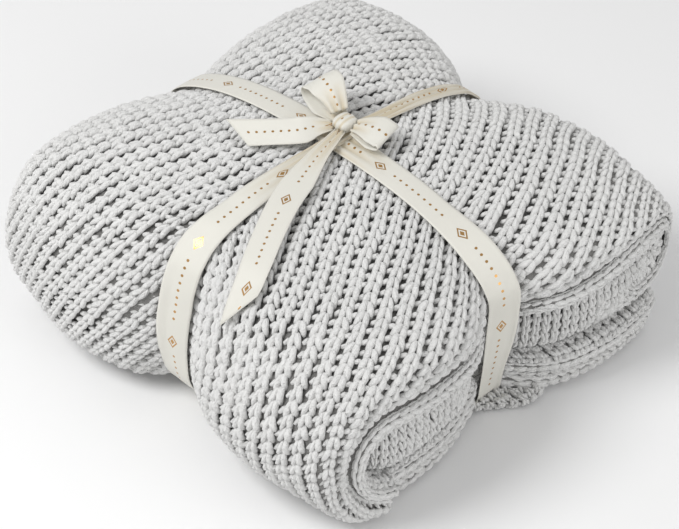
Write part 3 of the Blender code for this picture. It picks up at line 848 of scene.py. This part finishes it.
def taut_band(name, cad_name, axis, width, pleats):
    """The ribbon round the bundle in the plane across axis: width and pleat depth by run.
    On its -X or -Y side it is turned a little, with one edge riding up on the lobe."""
    loop, out = band_loop(cad_name, axis)
    top = smooth((loop[:, 1:] - 0.5 * STACK) / (0.4 * STACK))
    run = loop[:, :1]
    half = 0.5 * (RIBBON + (width(run) - RIBBON) * top)
    depth = pleats(run) * top
    wave = 0.5 + 0.5 * np.cos(ACROSS * 9.0 + 1.2 * np.sin(run * 45.0))
    lift = SATIN / 2 - 0.0004 + depth * (wave - 0.22) + 0.0004 * (1 - ACROSS * ACROSS)
    side = half * ACROSS
    riding = smooth((-run - 0.10) / 0.06) * smooth((loop[:, 1:] - 0.02) / 0.07)
    lift = lift + 0.27 * riding * (side + half)
    side = side * (1 + 0.06 * riding)
    place = loop[:, None] + out[:, None] * lift[..., None]
    rows = np.stack((side, place[..., 0], place[..., 1]) if axis == 0 else
                    (place[..., 0], side, place[..., 1]), -1)
    if axis == 1:
        rows = rows[:, ::-1]
    rows = settle(rows)
    # The pleats' valleys are given their painted shade through fold.
    piece = lay_ribbon(name, rows, (depth / 0.0030) * (1.35 - wave), closed=True)
    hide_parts(cad_name)


taut_band("band_across", "ribbon_across", 0, lambda run: RIBBON + 0 * run,
          lambda run: 0.0020 * smooth(1 - np.abs(run) / 0.06))
taut_band("band_along", "ribbon_along", 1,
          lambda run: RIBBON * np.minimum(1 - 0.48 * smooth(1 - np.abs(run) / 0.095),
                                          1 - 0.40 * smooth((run - 0.01) / 0.03)),
          lambda run: 0.0027 * np.maximum(smooth(1 - np.abs(run) / 0.11),
                                          0.8 * smooth((run - 0.01) / 0.03)))

# ---------------------------------------------------------------------------------------------
# The bow.  The same ribbon is tied in a bow over the crossing: a small tight knot, two loops
# that flare from it, and two tails cut slantwise, one laid down the front lobe.

KNOT_AT = np.array((0.0105, 0.0045))
KNOT_HALF = (0.0090, 0.0085, 0.0060)
PLEAT = 0.0010                  # the depth of the pleats at a loop's root
KNOT_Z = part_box("bow_knot")[0][2]

# A bow loop from the side: shares of its length and height, from the knot's top to its foot.
LOOP_SIDE = ((0.0, 0.30), (0.30, 0.80), (0.70, 1.00), (1.00, 0.66), (0.94, 0.20), (0.55, 0.0),
             (0.0, 0.0))


def curve_through(points, steps):
    """A smooth curve through points."""
    points = np.array(points, float)
    padded = np.concatenate((2 * points[:1] - points[1:2], points,
                             2 * points[-1:] - points[-2:-1]))
    t = (np.arange(steps) / steps)[:, None]
    made = [0.5 * (2 * p1 + (p2 - p0) * t + (2 * p0 - 5 * p1 + 4 * p2 - p3) * t**2
                   + (3 * p1 - p0 - 3 * p2 + p3) * t**3)
            for p0, p1, p2, p3 in zip(padded, padded[1:], padded[2:], padded[3:])]
    return np.concatenate(made + [points[-1:]])


def across_rows(centres, side, widths, lift, cut=0.0):
    """Rows of points across a free length of ribbon, each lifted off its middle line."""
    w = ACROSS[..., None]
    run = np.gradient(centres, axis=0)
    run /= np.linalg.norm(run, axis=1, keepdims=True)
    side = side - run * (side * run).sum(1, keepdims=True)
    side /= np.linalg.norm(side, axis=1, keepdims=True)
    face = np.cross(run, side)
    share = np.zeros((len(centres), 1, 1))
    share[-8:, 0, 0] = np.linspace(0, 1, 8)
    return (centres[:, None] + w * side[:, None] * widths[:, None, None] / 2
            + w * run[:, None] * cut * share + face[:, None] * lift[..., None])


def bow_loop(name, cad_name, heading, length, height, lean):
    """A loop that leaves the knot's top gathered, opens, and comes back under itself."""
    out = np.array((math.cos(heading), math.sin(heading), 0.0))
    side = np.array((-out[1], out[0], lean))
    centre = np.array((*KNOT_AT, KNOT_Z + 0.0055))
    start = KNOT_HALF[1] + 0.0006
    path = curve_through([centre + out * (start + (length - start) * r)
                          + np.array((0, 0, height * h)) for r, h in LOOP_SIDE], 8)
    spread = np.minimum(1.0, np.linalg.norm((path - centre)[:, :2], axis=1) / 0.028)
    gather, pleats = ((1 - spread) / 0.7)[:, None], np.cos(ACROSS * 8.0 + 0.6)
    lift = PLEAT * gather * pleats + 0.0008 * spread[:, None] * np.cos(ACROSS * 2.4)
    rows = across_rows(path, np.broadcast_to(side, path.shape), RIBBON * (0.3 + 0.8 * spread),
                       lift)
    # The gathered pleats at the loop's root get painted shade through fold.
    piece = lay_ribbon(name, rows, gather * (0.65 - 0.35 * pleats), run=0.02)
    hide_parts(cad_name)


def skin(run, y, off):
    """A place off the top of the tied throw, run metres towards -X from the middle."""
    radius = OUTER_TURN + PACKET / 2
    turn = np.maximum(0.0, run + LEFT_X) / radius
    return tie(-np.minimum(run, -LEFT_X) - (radius + off) * np.sin(turn), y,
               TOP_Z - OUTER_TURN + (radius + off) * np.cos(turn))


def bow_tail(name, cad_name, centres, side, flare, cut, ripple):
    """A free end that spreads to full width over flare rows and is cut aslant."""
    along = np.linspace(0, 1, len(centres))[:, None]
    widths = RIBBON * np.minimum(1.0, 0.35 + 0.65 * np.arange(len(centres)) / flare)
    gather, pleats = smooth(1 - along / 0.35), np.cos(ACROSS * 8.0)
    lift = (0.0009 * gather * pleats
            + ripple * np.sin(along * 9.0 + ACROSS) * smooth(along / 0.3))
    rows = across_rows(centres, side, widths, lift, cut)[:, ::-1]
    # The gathered pleats at the tail's root get painted shade through fold.
    piece = lay_ribbon(name, rows, gather * (0.65 - 0.35 * pleats), run=0.01)
    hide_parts(cad_name)


def bow_knot():
    """A band pulled tight round the loops' roots, creased the way it is wound, with painted shade
    down in its creases.
    """
    count, width = 48, 19
    turn = np.linspace(0, 2 * math.pi, count, endpoint=False)[:, None]
    v = np.linspace(-1, 1, width)[None, :]
    barrel = (1 - np.abs(v) ** 3.2) ** 0.45 * 0.94 + 0.06
    crease = 1 + 0.055 * np.cos(9.5 * v + 0.9 * np.sin(turn)) * (1 - v * v)
    x = np.sign(np.cos(turn)) * np.abs(np.cos(turn)) ** 0.85 * barrel * crease
    z = np.sign(np.sin(turn)) * np.abs(np.sin(turn)) ** 0.85 * barrel * crease
    rows = np.stack((KNOT_AT[0] + KNOT_HALF[0] * x, KNOT_AT[1] + KNOT_HALF[1] * (v + 0 * x),
                     KNOT_Z + KNOT_HALF[2] * (1 + 0.94 * np.maximum(z, -1.0))), -1)
    mesh = bmesh.new()
    verts = [[mesh.verts.new(p) for p in row] for row in rows]
    uv = mesh.loops.layers.uv.new("ribbon")
    for i in range(count):
        for j in range(width - 1):
            corners = (i, j), (i, j + 1), (i + 1, j + 1), (i + 1, j)
            face = mesh.faces.new([verts[r % count][c] for r, c in corners])
            for loop, (r, c) in zip(face.loops, corners):
                loop[uv].uv = (0.5 + 0.45 * v[0, c], 0.060 + 0.050 * r / count)
    for j in (0, width - 1):
        mesh.faces.new([row[j] for row in verts])
    data = closed_mesh("satin_knot", mesh)
    keep(data, "face", np.ones(rows[..., 0].size))
    # Painted shade down in the knot's creases, kept as fold.
    keep(data, "fold", (np.clip((1 - crease) / 0.055, 0, 1) + 0 * rows[..., 0]).ravel())
    piece = add_piece("satin_knot", data, satin)
    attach(piece, "root")
    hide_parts("bow_knot")


bow_knot()
bow_loop("satin_loop_upper", "bow_loop_upper", math.radians(74), 0.045, 0.018, -0.35)
bow_loop("satin_loop_right", "bow_loop_right", math.radians(-80), 0.038, 0.007, 0.25)

# The front tail's middle line: metres towards -X, y, and height off the throw.  The left tail's
# is x, y, and height over the knot's foot.
FRONT_TAIL = ((-0.0017, 0.0005, 0.0080), (0.030, -0.008, 0.0065), (0.056, -0.017, 0.0055),
              (0.088, -0.029, 0.0050), (0.120, -0.045, 0.0045), (0.150, -0.062, 0.0040),
              (0.172, -0.072, 0.0040))
LEFT_TAIL = ((0.0024, 0.0098, 0.0050), (-0.009, 0.017, 0.0060), (-0.021, 0.023, 0.0050),
             (-0.037, 0.039, 0.0035), (-0.053, 0.056, 0.0020))
run, y, off = curve_through(FRONT_TAIL, 8).T
bow_tail("satin_tail_front", "bow_tail_front", skin(run, y, off),
         skin(run, y + 0.01, off) - skin(run, y - 0.01, off), 18, 0.013, 0.0006)
x, y, z = curve_through(LEFT_TAIL, 8).T
bow_tail("satin_tail_left", "bow_tail_left", np.stack((x, y, KNOT_Z + z), -1),
         np.broadcast_to((0.68, 0.67, 0.29), (len(x), 3)), 14, 0.009, 0.0004)

# ---------------------------------------------------------------------------------------------
# The studio.  The tied throw stands on a pale floor, under an even white sky, with a big soft
# light high on the left, a weaker one in front, and a long lens looking down on the near lobe.

floor_mesh = bpy.data.meshes.new("floor")
floor_mesh.from_pydata([(-6, -6, 0), (6, -6, 0), (6, 6, 0), (-6, 6, 0)], [], [(0, 1, 2, 3)])
floor_material, tree = new_material("floor")
give_surface(tree, {"Base Color": (0.9, 0.9, 0.9, 1), "Roughness": 0.9})
floor = add_piece("floor", floor_mesh, floor_material)

world = bpy.data.worlds.new("studio")
bpy.context.scene.world = world
world.use_nodes = True
world.node_tree.nodes["Background"].inputs["Color"].default_value = (1, 1, 1, 1)
world.node_tree.nodes["Background"].inputs["Strength"].default_value = 0.545


def softbox(name, place, aim, size, power):
    light = bpy.data.lights.new(name, "AREA")
    light.shape, light.size, light.energy = "DISK", size, power
    lamp = bpy.data.objects.new(name, light)
    lamp.location = place
    direction = np.subtract(aim, place)
    lamp.rotation_euler = (math.atan2(math.hypot(direction[0], direction[1]), -direction[2]), 0,
                           math.atan2(-direction[0], direction[1]))
    bpy.context.scene.collection.objects.link(lamp)


softbox("key", (-1.15, 0.45, 1.65), (0, 0, 0.08), 1.0, 23)
softbox("fill", (0.3, -1.9, 0.9), (0, 0, 0.08), 1.4, 9)

AZIMUTH, ELEVATION, DISTANCE = math.radians(-43.95), math.radians(40.36), 1.6846
LOOK_AT = np.array((-0.0128, -0.0135, 0.0592))
camera_data = bpy.data.cameras.new("camera")
camera_data.sensor_width = 36.0
camera_data.lens = 114.45
camera = bpy.data.objects.new("camera", camera_data)
camera.location = LOOK_AT + DISTANCE * np.array((
    math.sin(AZIMUTH) * math.cos(ELEVATION), -math.cos(AZIMUTH) * math.cos(ELEVATION),
    math.sin(ELEVATION)))
camera.rotation_euler = (math.pi / 2 - ELEVATION, 0, AZIMUTH)
bpy.context.scene.collection.objects.link(camera)
bpy.context.scene.camera = camera
bpy.context.scene.view_settings.view_transform = "Standard"
